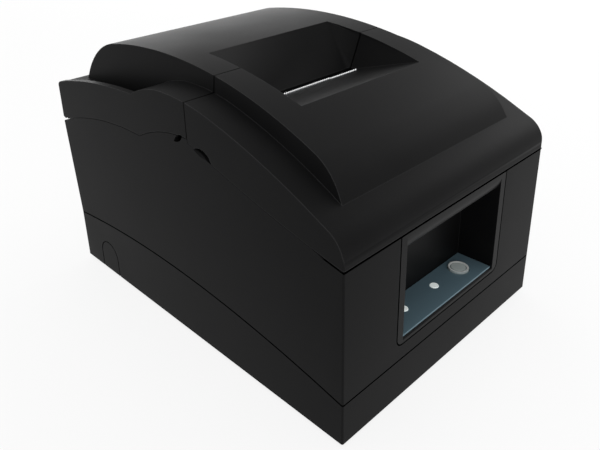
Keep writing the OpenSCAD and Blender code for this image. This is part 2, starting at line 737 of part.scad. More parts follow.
module button_board() color("#2f5d3a") bench() difference() {
    union() {
        block([-window_half, 2 * wall, button_board_z], [window_half, niche_d + 1, button_board_z + board_t]);
        translate([button_x, button_y, button_board_z + board_t]) {
            translate([-3, -3, 0]) cube([6, 6, switch_cap - 1]);
            cylinder(r = 1.6, h = switch_cap);
        }
        for (x = lens_x) translate([x, lens_y, button_board_z + board_t]) cylinder(r = 1.5, h = 1.4);
    }
    for (x = [-window_half + 4, window_half - 4], y = [6, niche_d - 3])
        translate([x, y, button_board_z - eps]) cylinder(r = 0.8, h = board_t + 2 * eps);
}

// Mechanism frame
chassis_front = 23;
chassis_back = 111;
chassis_top = chassis_z + plate_t;
damper_h = 3;
frame_out = frame_half + plate_t;
guide_y = 60;
guide_z = line_z - 18;
rail_y = 44;
rail_r = 2;
feed_y = platen_y + 11.3;
feed_z = line_z + 20;
feed_shaft_r = 2.5;
pinch_shaft_r = 1.5;
paper_t = 0.3;
pinch_y = feed_y - feed_r - paper_t - pinch_r;
platen_z0 = line_z - 8;
platen_z1 = line_z + 8;
platen_d = 8;
platen_half = 43.5;
pulley_x = 44;
pulley_y = 50;
belt_z = chassis_top + 4;
belt_w = 4;
belt_t = 1.2;
motor_square = 35;
motor_h = 18;

module mech_chassis() color("#8d9094") bench() difference() {
    union() {
        block([-frame_out, chassis_front, chassis_z], [frame_out, chassis_back, chassis_top]);
        idler_stud();
    }
    at_mech_posts() translate([0, 0, chassis_z - eps]) cylinder(r = screw_r + loose, h = plate_t + 2 * eps);
    translate([-pulley_x, pulley_y, chassis_z - eps]) cylinder(r = 6.5, h = plate_t + 2 * eps);
}

module frame_outline() polygon([[34, chassis_top], [chassis_back - 1, chassis_top], [chassis_back - 1, 62],
    [104, 76], [106, 92], [106, feed_z + 6], [feed_y + 5, feed_z + 9], [feed_y - 14, feed_z + 9],
    [76, 98], [70, 78], [52, 76], [36, 72]]);
module mech_side_frames() color("#9a9da1") bench() both_sides() difference() {
    across(frame_half, frame_out) difference() {
        frame_outline();
        translate([guide_y, guide_z]) circle(shaft_r + 0.02);
        translate([rail_y, guide_z]) circle(rail_r + 0.02);
        translate([feed_y, feed_z]) circle(feed_shaft_r + running);
        translate([pinch_y, feed_z]) circle(pinch_shaft_r + running);
        translate([platen_y + 1, platen_z0 + 1]) square([platen_d - 2, platen_z1 - platen_z0 - 2]);
        translate([idler_c[0], idler_c[1]]) circle(post_pin_r);
        translate([pinion_c[0], pinion_c[1]]) circle(4);
    }
}
post_pin_r = 1.5;
gear_x = frame_out + 1;
module mech_dampers() color("#232323") bench() at_mech_posts() translate([0, 0, chassis_z - damper_h]) difference() {
    cylinder(r = post_r, h = damper_h);
    translate([0, 0, -eps]) cylinder(r = screw_r + loose, h = damper_h + 2 * eps);
}

module platen() color("#3a3b3d") bench() {
    intersection() {
        block([-platen_half, platen_y, platen_z0], [platen_half, platen_y + platen_d, platen_z1]);
        rod(platen_y + 30, line_z, 30, -platen_half, platen_half);
    }
    block([-frame_out, platen_y + 1, platen_z0 + 1], [frame_out, platen_y + platen_d - 1, platen_z1 - 1]);
}

module guide_shaft() color("#c6c9cd") bench() rod(guide_y, guide_z, shaft_r, -frame_out - 1.5, frame_out + 1.5);
module guide_rail() color("#c6c9cd") bench() rod(rail_y, guide_z, rail_r, -frame_out - 1.5, frame_out + 1.5);

// Carriage and print head, at the left end of their travel
carriage_x = -carriage_travel / 2;
carriage_half = 13;
carriage_y0 = 39;
carriage_y1 = 70;
carriage_z0 = guide_z - 6;
carriage_z1 = guide_z + 8;
belt_run = pulley_y + pulley_r;
module carriage() color("#26272a") bench() translate([carriage_x, 0, 0]) difference() {
    union() {
        block([-carriage_half, carriage_y0, carriage_z0], [carriage_half, carriage_y1, carriage_z1]);
        block([-5, belt_run - 3, belt_z - 1], [5, belt_run + 4, carriage_z0 + 1]);
    }
    rod(guide_y, guide_z, shaft_r + running, -carriage_half - eps, carriage_half + eps);
    block([-carriage_half - eps, carriage_y0 - eps, guide_z - rail_r - loose],
        [carriage_half + eps, rail_y + rail_r + loose, guide_z + rail_r + loose]);
    // Saddle for the head, and the slot that grips the belt
    translate([0, carriage_y0 + 4, line_z]) rotate([-90, 0, 0]) cylinder(r = head_r + 0.1, h = case_d);
    translate([0, carriage_y0 - eps, line_z]) rotate([-90, 0, 0]) cylinder(r = head_r - 3, h = case_d);
    block([-5 - eps, belt_run - 0.15, belt_z - 2 * eps], [5 + eps, belt_run + belt_t + 0.15, belt_z + belt_w + loose]);
}
fin_t = 1.6;
fin_gap = 1.6;
fins = 6;
head_y = carriage_y0 + 4.2;
nose_tip = platen_y - 0.9;
module print_head() color("#3b3d40") bench() translate([carriage_x, 0, line_z]) {
    rotate([-90, 0, 0]) translate([0, 0, head_y]) {
        cylinder(r = head_r - 3, h = fins * (fin_t + fin_gap) + 4);
        for (i = [0 : fins]) translate([0, 0, i * (fin_t + fin_gap)]) cylinder(r = head_r, h = fin_t);
    }
    head_end = head_y + fins * (fin_t + fin_gap) + 4;
    translate([0, 0, -6]) linear_extrude(12) polygon([[-8, head_end - 1], [8, head_end - 1], [8, head_end + 5],
        [3, nose_tip], [-3, nose_tip], [-8, head_end + 5]]);
}

// Belt drive: the loop lies flat, round a pulley on the motor and an idler pulley
module belt_path(r) {
    translate([-pulley_x, pulley_y - r]) square([2 * pulley_x, 2 * r]);
    for (x = [-pulley_x, pulley_x]) translate([x, pulley_y]) circle(r);
}
module drive_belt() color("#1a1a1b") bench() translate([0, 0, belt_z]) linear_extrude(belt_w) difference() {
    belt_path(pulley_r + belt_t);
    belt_path(pulley_r);
}
flange = 0.7;
module pulley(x) translate([x, pulley_y, 0]) {
    translate([0, 0, belt_z - flange - loose]) cylinder(r = pulley_r + 1.6, h = flange);
    translate([0, 0, belt_z - flange]) cylinder(r = pulley_r - running, h = belt_w + 2 * flange);
    translate([0, 0, belt_z + belt_w + loose]) cylinder(r = pulley_r + 1.6, h = flange);
}
// The motor's shaft turns with its pulley
spindle_r = 1.25;
pulley_top = belt_z + belt_w + 2;
module drive_pulley() color("#b7b9bc") bench() {
    pulley(-pulley_x);
    translate([-pulley_x, pulley_y, chassis_top + running]) cylinder(r = spindle_r, h = pulley_top - chassis_top);
}
idler_r = 1.5;
module idler_pulley() color("#b7b9bc") bench() difference() {
    pulley(pulley_x);
    translate([pulley_x, pulley_y, belt_z - 5]) cylinder(r = idler_r + running, h = 20);
}
module idler_stud() translate([pulley_x, pulley_y, chassis_top - eps / 2]) {
    cylinder(r = idler_r + 1.5, h = eps / 2 + belt_z - flange - loose - chassis_top - 0.2);
    cylinder(r = idler_r, h = eps / 2 + pulley_top - chassis_top);
}
module carriage_motor() color("#55585c") bench() {
    translate([-pulley_x, pulley_y, 0]) {
        difference() {
            translate([-motor_square / 2, -motor_square / 2, chassis_z - motor_h])
                cube([motor_square, motor_square, motor_h]);
            for (x = [-1, 1], y = [-1, 1]) translate([x * motor_square / 2, y * motor_square / 2, 0])
                rotate([0, 0, 45]) translate([-3, -3, 0]) cube([6, 6, chassis_z + eps]);
        }
        translate([0, 0, chassis_z - eps]) cylinder(r = 6, h = eps + plate_t);
    }
}
// Paper feed
module feed_shaft() color("#c6c9cd") bench() rod(feed_y, feed_z, feed_shaft_r, -gear_x - gear_w - 1, frame_out + 1.5);
roller_w = 18;
roller_x = [-32, -roller_w / 2, 32 - roller_w];
module feed_rollers() color("#2a2a2b") bench() for (x = roller_x) difference() {
    rod(feed_y, feed_z, feed_r, x, x + roller_w);
    rod(feed_y, feed_z, feed_shaft_r, x - eps, x + roller_w + eps);
}
module pinch_shaft() color("#c6c9cd") bench() rod(pinch_y, feed_z, pinch_shaft_r, -frame_out - 0.5, frame_out + 1);
module pinch_rollers() color("#d8d8d4") bench() for (x = roller_x) difference() {
    rod(pinch_y, feed_z, pinch_r, x, x + roller_w);
    rod(pinch_y, feed_z, pinch_shaft_r, x - eps, x + roller_w + eps);
}

// Involute gears
pressure_a = 20;
addendum = 0.9;
dedendum = 1.2;
backlash = 0.16;
function involute(a) = tan(a) * 180 / PI - a;
function half_tooth(r, n) = let (p = gear_m * n / 2, b = p * cos(pressure_a))
    90 / n - backlash / p * 45 / PI + involute(pressure_a) - involute(acos(min(1, b / max(r, b))));
function gear_points(n, phase) = let (
    p = gear_m * n / 2, tip = p + addendum * gear_m, root = p - dedendum * gear_m,
    base = max(root + 0.1, p * cos(pressure_a)),
    steps = [root, base, base + (tip - base) * 0.35, base + (tip - base) * 0.7, tip])
    [for (i = [0 : n - 1]) let (a = phase + 360 * i / n)
        each concat(
            [for (r = steps) r * [cos(a - half_tooth(r, n)), sin(a - half_tooth(r, n))]],
            [for (k = [4 : -1 : 0]) let (r = steps[k]) r * [cos(a + half_tooth(r, n)), sin(a + half_tooth(r, n))]])];
// Phase of a gear that meshes with another, seen from that other gear in direction d
function mesh_phase(n1, phase1, n2, d) = d + 180 - (360 / n2) * (0.5 - (d - phase1) * n1 / 360);
idler_dir = -100;
pinion_dir = -85;
feed_c = [feed_y, feed_z];
idler_c = feed_c + gear_m * (feed_teeth + idler_teeth) / 2 * [cos(idler_dir), sin(idler_dir)];
pinion_c = idler_c + gear_m * (idler_teeth + pinion_teeth) / 2 * [cos(pinion_dir), sin(pinion_dir)];
idler_phase = mesh_phase(feed_teeth, 0, idler_teeth, idler_dir);
pinion_phase = mesh_phase(idler_teeth, idler_phase, pinion_teeth, pinion_dir);
// A spur gear outside the left side frame
module gear(c, n, phase, bore) difference() {
    union() {
        across(-gear_x - gear_w, -gear_x) translate(c) polygon(gear_points(n, phase));
        rod(c[0], c[1], bore + 1.6, -gear_x - gear_w - 0.6, -gear_x + 0.6);
    }
    rod(c[0], c[1], bore, -gear_x - 2 * gear_w, -gear_x + gear_w);
    if (n > 2 * pinion_teeth - 4) for (x = [-gear_x - gear_w - eps, -gear_x - gear_w / 2 + 0.8])
        across(x, x + eps + gear_w / 2 - 0.8) translate(c) difference() {
            circle(gear_m * n / 2 - 3);
            circle(bore + 3);
        }
}
module feed_gear() color("#d9d5c8") bench() gear(feed_c, feed_teeth, 0, feed_shaft_r);
module idler_gear() color("#d9d5c8") bench() gear(idler_c, idler_teeth, idler_phase, post_pin_r + running);
module feed_pinion() color("#c9a24a") bench() {
    gear(pinion_c, pinion_teeth, pinion_phase, spindle_r / 2);
    rod(pinion_c[0], pinion_c[1], spindle_r, -gear_x - gear_w - 0.6, -frame_out - running);
}
module idler_post() color("#c6c9cd") bench() {
    rod(idler_c[0], idler_c[1], post_pin_r, -gear_x - gear_w - 1.6, -frame_half + 0.5);
    rod(idler_c[0], idler_c[1], post_pin_r + 1, -gear_x - gear_w - 1.6, -gear_x - gear_w - 0.8);
}
feed_motor_l = 13;
module feed_motor() color("#55585c") bench() {
    rod(pinion_c[0], pinion_c[1], motor_r, -frame_half, -frame_half + feed_motor_l);
    rod(pinion_c[0], pinion_c[1], 3.9, -frame_out, -frame_half);
}

// Ribbon cartridge
cart_half = 52;
cart_z0 = line_z + 17;
cart_h = 11;
cart_y0 = 34;
cart_y1 = 76;
knob_x = 30;
knob_y = 54;
knob_r = 7;
knob_pin = 2;
module ribbon_cartridge() color("#2b2d33") bench() difference() {
    union() {
        translate([0, 0, cart_z0]) linear_extrude(cart_h) rounded(-cart_half, cart_y0, cart_half, cart_y1, 5);
        both_sides() block([cart_half - 7, cart_y1 - 8, line_z - 8], [cart_half, platen_y + 0.7, cart_z0 + 1]);
    }
    translate([0, 0, cart_z0 + 1.6]) linear_extrude(cart_h - 3.2)
        rounded(-cart_half + 1.6, cart_y0 + 1.6, cart_half - 1.6, cart_y1 - 1.6, 4);
    translate([knob_x, knob_y, cart_z0 + cart_h - 2 * eps]) cylinder(r = knob_pin + running, h = 4 * eps);
    both_sides() block([cart_half - 8, ribbon_y - 0.3, line_z - 7], [cart_half - 2, ribbon_y + 0.3, line_z + 8]);
}
ribbon_y = platen_y - 0.55;
ribbon_t = 0.15;
module ink_ribbon() color("#101014") bench()
    block([-cart_half + 3, ribbon_y - ribbon_t / 2, line_z - 6], [cart_half - 3, ribbon_y + ribbon_t / 2, line_z + 6.5]);
module ribbon_knob() color("#d9d9d6") bench() translate([knob_x, knob_y, cart_z0 + cart_h]) {
    translate([0, 0, 0.3]) difference() {
        cylinder(r = knob_r, h = 5);
        for (a = [0 : 30 : 330]) rotate([0, 0, a]) translate([knob_r + 0.6, 0, -eps]) cylinder(r = 1.3, h = 7);
    }
    translate([0, 0, -cart_h + 2.2]) cylinder(r = knob_pin, h = cart_h - 1);
}

// Paper guide from the bucket up to the print line
guide_half = slot_half - 1.5;
module paper_guide() color("#8d9094") bench() {
    guide_t = 1;
    guide_back = platen_y + 2;
    across(-guide_half, guide_half) polygon([[guide_back, platen_z0], [guide_back, 58], [platen_y + 8, 48],
        [chassis_back - 1, 44], [chassis_back - 1, 44 - guide_t], [platen_y + 7.4, 47],
        [guide_back - guide_t, 57.6], [guide_back - guide_t, platen_z0]]);
    block([-frame_half, guide_back - guide_t, platen_z0 - 9], [frame_half, guide_back, platen_z0 - 1]);
}

// Roll bucket
lever_y = bucket_y - 18;
lever_z = 66;
window_l = 16;
module paper_bucket() color("#232427") bench() difference() {
    union() {
        across(-bucket_half - bucket_t, bucket_half + bucket_t) {
            difference() {
                union() {
                    translate([bucket_y, bucket_z]) circle(bucket_r + bucket_t);
                    translate([bucket_y - bucket_r - bucket_t, bucket_z]) square([2 * (bucket_r + bucket_t), 16]);
                }
                translate([bucket_y - case_d, bucket_z + 16]) square([2 * case_d, case_d]);
            }
        }
        at_bucket_posts() translate([0, 0, bucket_ear_z]) cylinder(r = post_r + 1.5, h = bucket_t);
        both_sides() for (y = bucket_post_y)
            block([bucket_half, y - post_r, bucket_ear_z], [bucket_post_x, y + post_r, bucket_ear_z + bucket_t]);
        lever_pin();
    }
    across(-bucket_half, bucket_half) {
        translate([bucket_y, bucket_z]) circle(bucket_r);
        translate([bucket_y - bucket_r, bucket_z]) square([2 * bucket_r, case_d]);
        // Mouth at the front, where the paper leaves
        translate([bucket_y - bucket_r - 3, bucket_z - 26]) square([20, 8]);
    }
    at_bucket_posts() translate([0, 0, bucket_ear_z - eps]) cylinder(r = screw_r + loose, h = bucket_t + 2 * eps);
    block([-bucket_half - 2 * bucket_t, lever_y + 8, lever_z - 4], [-bucket_half + eps, lever_y + 8 + window_l, lever_z + 4]);
}
lever_t = 1.6;
lever_x = -bucket_half - bucket_t - 3.4;
module paper_end_lever() color("#c9c9c4") bench() difference() {
    union() {
        translate([lever_x, lever_y, lever_z - 3]) cylinder(r = 3, h = 6);
        block([lever_x - lever_t / 2, lever_y, lever_z - 2.5], [lever_x + lever_t / 2, lever_y + 20, lever_z + 2.5]);
        translate([lever_x, lever_y + 16, lever_z - 2.5]) linear_extrude(5)
            polygon([[0, -4], [6.4, -1], [6.4, 1], [0, 4]]);
    }
    translate([lever_x, lever_y, lever_z - 4]) cylinder(r = 1 + running, h = 8);
}
module lever_pin() translate([lever_x, lever_y, 0]) {
    translate([0, 0, lever_z - 5.4]) cylinder(r = 1, h = 9);
    translate([-3, -3, lever_z - 5.4]) cube([-bucket_half - lever_x + 2, 6, 2]);
}

// Electronics
module main_board() color("#2f5d3a") bench() difference() {
    union() {
        block([-board_x, board_y0, board_z], [board_x, board_y1, board_z + board_t]);
        block([20, 84, port_z], [44, 108, port_z + 2]);
        block([-46, 120, port_z], [-26, 140, port_z + 2]);
        for (x = [8, 20, 32]) translate([x, 148, port_z]) cylinder(r = 5, h = 12);
        block([-8, 40, port_z], [16, 44, port_z + 8]);
    }
    at_mech_posts() cylinder(r = post_r + post_hole, h = case_d / 4);
    at_bucket_posts() cylinder(r = post_r + post_hole, h = case_d / 4);
    at_board_posts() cylinder(r = screw_r + loose, h = case_d / 4);
}
port_back = base_d + 0.2;
module parallel_port() color("#2a2b2e") bench() difference() {
    union() {
        block([parallel_x - parallel_w / 2, board_y1 - 6, port_z], [parallel_x + parallel_w / 2, port_back - 1, port_z + parallel_h]);
        block([parallel_x - parallel_w / 2 + 4, port_back - 2, port_z + 1.5],
            [parallel_x + parallel_w / 2 - 4, port_back + 1, port_z + parallel_h - 1.5]);
    }
    difference() {
        block([parallel_x - parallel_w / 2 + 5.5, port_back - 7, port_z + 2.6],
            [parallel_x + parallel_w / 2 - 5.5, port_back + 2, port_z + parallel_h - 2.6]);
        block([parallel_x - parallel_w / 2 + 9, port_back - 8, port_z + 5.2],
            [parallel_x + parallel_w / 2 - 9, port_back - 1, port_z + parallel_h - 5.2]);
    }
}
module power_inlet() color("#151516") bench() difference() {
    block([inlet_x - inlet_w / 2, board_y1 - 6, port_z], [inlet_x + inlet_w / 2, port_back, port_z + inlet_h]);
    translate([inlet_x, port_back + eps, port_z + inlet_h / 2]) rotate([90, 0, 0]) difference() {
        cylinder(r = 4.8, h = 9);
        cylinder(r = 1, h = 20);
    }
}
module drawer_jack() color("#26272a") bench() difference() {
    block([jack_x - jack_w / 2, board_y1 - 4, port_z], [jack_x + jack_w / 2, port_back, port_z + jack_h]);
    block([jack_x - 4.9, port_back - 9, port_z + 2.4], [jack_x + 4.9, port_back + eps, port_z + 9]);
    block([jack_x - 2, port_back - 9, port_z + 8], [jack_x + 2, port_back + eps, port_z + 11.2]);
}
rocker_w = 8.6;
rocker_l = 14;
rocker_y = base_d - 4;
rocker_z = switch_z + switch_w / 2;
rocker_r = 1;
module power_switch() color("#161617") bench() difference() {
    block([switch_x - switch_h / 2, base_d - 14, switch_z], [switch_x + switch_h / 2, port_back + 0.4, switch_z + switch_w]);
    block([switch_x - rocker_l / 2 - 1.1, base_d - 9, rocker_z - rocker_w / 2 - 0.3],
        [switch_x + rocker_l / 2 + 1.1, case_d, rocker_z + rocker_w / 2 + 0.3]);
    translate([switch_x, rocker_y, rocker_z - rocker_w / 2 - 1.3]) cylinder(r = rocker_r + running, h = rocker_w + 2.6);
}
// The rocker lies with its left half pressed in
rocker_tilt = 9;
module power_rocker() color("#1f2022") bench() translate([switch_x, rocker_y, rocker_z]) rotate([0, 0, rocker_tilt]) {
    translate([0, 0, -rocker_w / 2]) linear_extrude(rocker_w)
        polygon([[-rocker_l / 2, -1.4], [rocker_l / 2, -1.4], [rocker_l / 2, 4.8], [0, 3.9], [-rocker_l / 2, 4.8]]);
    translate([0, 0, -rocker_w / 2 - 1]) cylinder(r = rocker_r, h = rocker_w + 2);
}

base_case();
body_shell();
front_bezel();
control_panel();
feed_button();
indicator_lenses();
button_board();
rubber_feet();
case_screws();
front_cover();
rear_cover();
rear_hinge_pins();
tear_bar();
mech_chassis();
mech_side_frames();
mech_dampers();
platen();
guide_shaft();
guide_rail();
carriage();
print_head();
ribbon_cartridge();
ribbon_knob();
ink_ribbon();
drive_belt();
drive_pulley();
idler_pulley();
carriage_motor();
feed_shaft();
feed_rollers();
feed_gear();
idler_gear();
idler_post();
feed_pinion();
feed_motor();
pinch_shaft();
pinch_rollers();
paper_guide();
paper_bucket();
paper_end_lever();
main_board();
parallel_port();
power_inlet();
drawer_jack();
power_switch();
power_rocker();
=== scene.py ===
import json
import math
import bmesh
import bpy
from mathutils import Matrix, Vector


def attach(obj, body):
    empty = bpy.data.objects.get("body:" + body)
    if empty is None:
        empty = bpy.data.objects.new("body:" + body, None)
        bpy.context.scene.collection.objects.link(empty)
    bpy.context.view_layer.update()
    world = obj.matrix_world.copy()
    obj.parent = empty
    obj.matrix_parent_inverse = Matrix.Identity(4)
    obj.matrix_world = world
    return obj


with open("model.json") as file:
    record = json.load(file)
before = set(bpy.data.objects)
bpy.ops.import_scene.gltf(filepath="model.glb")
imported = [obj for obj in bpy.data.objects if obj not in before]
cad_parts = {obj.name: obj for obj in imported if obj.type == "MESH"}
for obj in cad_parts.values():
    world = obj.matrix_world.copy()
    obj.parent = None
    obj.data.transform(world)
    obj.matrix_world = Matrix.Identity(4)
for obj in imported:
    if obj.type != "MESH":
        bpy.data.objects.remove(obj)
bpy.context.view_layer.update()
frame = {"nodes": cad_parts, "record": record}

MM = 0.001
NODES = frame["nodes"]
scene = bpy.context.scene

# Sizes shared with the part's source, in mm, in its own frame: Y from the front, Z from the base
CASE_HALF = 79.2
CASE_D = 222
BASE_D = 217
FOOT_H = 2.5
SPLIT_Y = 94
SEAM_Z, SEAM_SLOPE, SEAM_CURVE = 87.1, 0.2, 0.00088
ARCH_Y, ARCH_Z, ARCH_R = 137, 36.3, 641
TONGUE_Y, TONGUE_Z = 1.4, 88.5
BUTTON_X, BUTTON_Y = 25.5, 11.6
# The window frame's gap, outer edge: half width, lowest point, corner radius, top; then its width
FRAME_HALF, FRAME_LOW, FRAME_R, FRAME_TOP = 43.25, 29.15, 4.65, 86.4
FRAME_GAP = 0.75
# The gap under the front cover's lip: from, to, and how deep its painted shadow strip goes
LIP_LOW, LIP_TOP, LIP_DEEP = 86, 86.82, 0.14
# The painted shadow strips stand this far out of the case, so that they cover the gaps' edges
PROUD = 0.01

# Camera, as fitted to the photograph
cam_data = bpy.data.cameras.new("camera")
cam_data.sensor_width = 36
cam_data.lens = 38.746
cam_data.shift_x = 0.0761
cam_data.shift_y = -0.1466
cam_data.clip_start = 0.01
camera = bpy.data.objects.new("camera", cam_data)
camera.location = (-0.236508, -0.243624, 0.229945)
camera.rotation_euler = [math.radians(a) for a in (67.6155, 2.6225, -42.3095)]
scene.collection.objects.link(camera)
scene.camera = camera


# Materials
def material(name):
    """A new material, with its tree and its shader."""
    m = bpy.data.materials.new(name)
    m.use_nodes = True
    nt = m.node_tree
    return m, nt, nt.nodes["Principled BSDF"]


def node(nt, kind, **values):
    """A new shader node; each value goes to the socket or the property of that name."""
    n = nt.nodes.new(kind)
    for k, v in values.items():
        if k in n.inputs.keys():
            n.inputs[k].default_value = v
        else:
            setattr(n, k, v)
    return n


def ramp(nt, factor, stops):
    """A colour ramp between two stops of place and colour."""
    r = nt.nodes.new("ShaderNodeValToRGB")
    for element, (place, colour) in zip(r.color_ramp.elements, stops):
        element.position, element.color = place, (*colour, 1)
    nt.links.new(factor, r.inputs["Fac"])
    return r


def span(nt, value, low, high, to_low=0.0, to_high=1.0):
    """The value's way from low to high, spread from to_low to to_high."""
    n = nt.nodes.new("ShaderNodeMapRange")
    for key, v in (("From Min", low), ("From Max", high), ("To Min", to_low), ("To Max", to_high)):
        n.inputs[key].default_value = v
    nt.links.new(value, n.inputs["Value"])
    return n.outputs["Result"]


def moulded(name, colour, rough=0.45, grain=2600, bump=0.06, spread=0.12, wear_and_sheen=0.35, wear_and_sheen_lift=0.01,
            seam_y=None, **sockets):
    """Moulded plastic: a fine spark-eroded grain, slow changes of tone and paler edges, painted
    both as wear and as edge highlight.
    """
    m, nt, bsdf = material(name)
    link = nt.links.new
    place = node(nt, "ShaderNodeTexCoord").outputs["Object"]
    fine = node(nt, "ShaderNodeTexNoise", Scale=grain, Detail=3.0, Roughness=0.6)
    broad = node(nt, "ShaderNodeTexNoise", Scale=28.0, Detail=4.0, Roughness=0.55)
    link(place, fine.inputs["Vector"])
    link(place, broad.inputs["Vector"])
    low = tuple(c * (1 - spread) for c in colour)
    high = tuple(c * (1 + spread) for c in colour)
    shade = ramp(nt, broad.outputs["Fac"], ((0.3, low), (0.7, high)))
    # Edges painted paler, both as rubbed wear and as a painted edge highlight: where the rounded
    # normal differs from the flat one
    edge = node(nt, "ShaderNodeBevel", Radius=0.0006, samples=4)
    geo = node(nt, "ShaderNodeNewGeometry")
    dot = node(nt, "ShaderNodeVectorMath", operation="DOT_PRODUCT")
    link(edge.outputs["Normal"], dot.inputs[0])
    link(geo.outputs["Normal"], dot.inputs[1])
    rubbed_and_sheen_edge = span(nt, dot.outputs["Value"], 0.995, 0.9, 0.0, wear_and_sheen)
    mix = node(nt, "ShaderNodeMix", data_type="RGBA")
    mix.inputs["B"].default_value = (*[min(1.0, c * 2.2 + wear_and_sheen_lift) for c in colour], 1)
    if seam_y is None:
        link(rubbed_and_sheen_edge, mix.inputs["Factor"])
        link(shade.outputs["Color"], mix.inputs["A"])
    else:
        # No paler edge where the two covers meet, and painted shade darkening the colour at their
        # split
        parts = node(nt, "ShaderNodeSeparateXYZ")
        link(place, parts.inputs["Vector"])
        off = node(nt, "ShaderNodeMath", operation="SUBTRACT")
        off.inputs[1].default_value = seam_y * MM
        link(parts.outputs["Y"], off.inputs[0])
        away = node(nt, "ShaderNodeMath", operation="ABSOLUTE")
        link(off.outputs["Value"], away.inputs[0])
        bare = span(nt, away.outputs["Value"], 0.7 * MM, 1.4 * MM)
        kept = node(nt, "ShaderNodeMath", operation="MULTIPLY")
        link(rubbed_and_sheen_edge, kept.inputs[0])
        link(bare, kept.inputs[1])
        link(kept.outputs["Value"], mix.inputs["Factor"])
        # Painted shade: black at the split, full colour from 0.6 mm away
        seam_shade = span(nt, away.outputs["Value"], 0.35 * MM, 0.6 * MM)
        dim = node(nt, "ShaderNodeVectorMath", operation="SCALE")
        link(shade.outputs["Color"], dim.inputs[0])
        link(seam_shade, dim.inputs["Scale"])
        link(dim.outputs["Vector"], mix.inputs["A"])
    link(mix.outputs["Result"], bsdf.inputs["Base Color"])
    link(span(nt, broad.outputs["Fac"], 0, 1, rough - 0.05, rough + 0.06), bsdf.inputs["Roughness"])
    b = node(nt, "ShaderNodeBump", Strength=bump, Distance=0.0002)
    link(fine.outputs["Fac"], b.inputs["Height"])
    link(b.outputs["Normal"], bsdf.inputs["Normal"])
    for k, v in sockets.items():
        bsdf.inputs[k.replace("_", " ")].default_value = v
    return m


def metal(name, colour, rough=0.28, stretch=(1, 60, 60), scale=90, bump=0.05, spread=0.12):
    """Drawn or ground metal with fine lines along X."""
    m, nt, bsdf = material(name)
    link = nt.links.new
    place = node(nt, "ShaderNodeTexCoord").outputs["Object"]
    mapping = node(nt, "ShaderNodeMapping")
    mapping.inputs["Scale"].default_value = stretch
    link(place, mapping.inputs["Vector"])
    lines = node(nt, "ShaderNodeTexNoise", Scale=scale, Detail=4.0, Roughness=0.65)
    link(mapping.outputs["Vector"], lines.inputs["Vector"])
    low = tuple(c * (1 - spread) for c in colour)
    high = tuple(min(1, c * (1 + spread)) for c in colour)
    shade = ramp(nt, lines.outputs["Fac"], ((0.25, low), (0.75, high)))
    link(shade.outputs["Color"], bsdf.inputs["Base Color"])
    bsdf.inputs["Metallic"].default_value = 1.0
    link(span(nt, lines.outputs["Fac"], 0, 1, rough - 0.07, rough + 0.1), bsdf.inputs["Roughness"])
    b = node(nt, "ShaderNodeBump", Strength=bump, Distance=0.0001)
    link(lines.outputs["Fac"], b.inputs["Height"])
    link(b.outputs["Normal"], bsdf.inputs["Normal"])
    return m


def board_laminate(name, colour):
    """Circuit board: solder mask with the shine of copper tracks showing through."""
    m, nt, bsdf = material(name)
    link = nt.links.new
    place = node(nt, "ShaderNodeTexCoord").outputs["Object"]
    cells = node(nt, "ShaderNodeTexVoronoi", Scale=240.0, distance="MANHATTAN",
                 feature="DISTANCE_TO_EDGE")
    link(place, cells.inputs["Vector"])
    track = tuple(c * 1.7 for c in colour)
    shade = ramp(nt, cells.outputs["Distance"], ((0.03, track), (0.06, colour)))
    link(shade.outputs["Color"], bsdf.inputs["Base Color"])
    bsdf.inputs["Roughness"].default_value = 0.3
    b = node(nt, "ShaderNodeBump", Strength=0.2, Distance=0.0001)
    b.invert = True
    link(shade.outputs["Color"], b.inputs["Height"])
    link(b.outputs["Normal"], bsdf.inputs["Normal"])
    return m


def button_face():
    """The feed button, by the distance from its centre: a dish, a groove painted darker as its
    shade, a paler ring and a darker side.
    """
    m, nt, bsdf = material("button_face")
    link = nt.links.new
    place = node(nt, "ShaderNodeTexCoord").outputs["Object"]
    shift = node(nt, "ShaderNodeVectorMath", operation="SUBTRACT")
    shift.inputs[1].default_value = (BUTTON_X * MM, (BUTTON_Y - CASE_D / 2) * MM, 0)
    flat = node(nt, "ShaderNodeVectorMath", operation="MULTIPLY")
    flat.inputs[1].default_value = (1 / MM, 1 / MM, 0)
    reach = node(nt, "ShaderNodeVectorMath", operation="LENGTH")
    grain = node(nt, "ShaderNodeTexNoise", Scale=900.0, Detail=2.0)
    link(place, shift.inputs[0])
    link(shift.outputs["Vector"], flat.inputs[0])
    link(flat.outputs["Vector"], reach.inputs[0])
    link(place, grain.inputs["Vector"])
    dish, groove_shade = (0.72, 0.8, 0.78), (0.4, 0.46, 0.46)
    ring, side = (0.97, 1.0, 0.98), (0.3, 0.36, 0.36)
    rings = ramp(nt, span(nt, reach.outputs["Value"], 0, 6), ((0.0, dish), (1.0, side)))
    for at, tone in ((0.6, dish), (0.63, groove_shade), (0.68, groove_shade), (0.71, ring), (0.84, ring),
                     (0.87, side)):
        stop = rings.color_ramp.elements.new(at)
        stop.color = (*tone, 1)
    link(rings.outputs["Color"], bsdf.inputs["Base Color"])
    link(span(nt, grain.outputs["Fac"], 0, 1, 0.28, 0.4), bsdf.inputs["Roughness"])
    return m


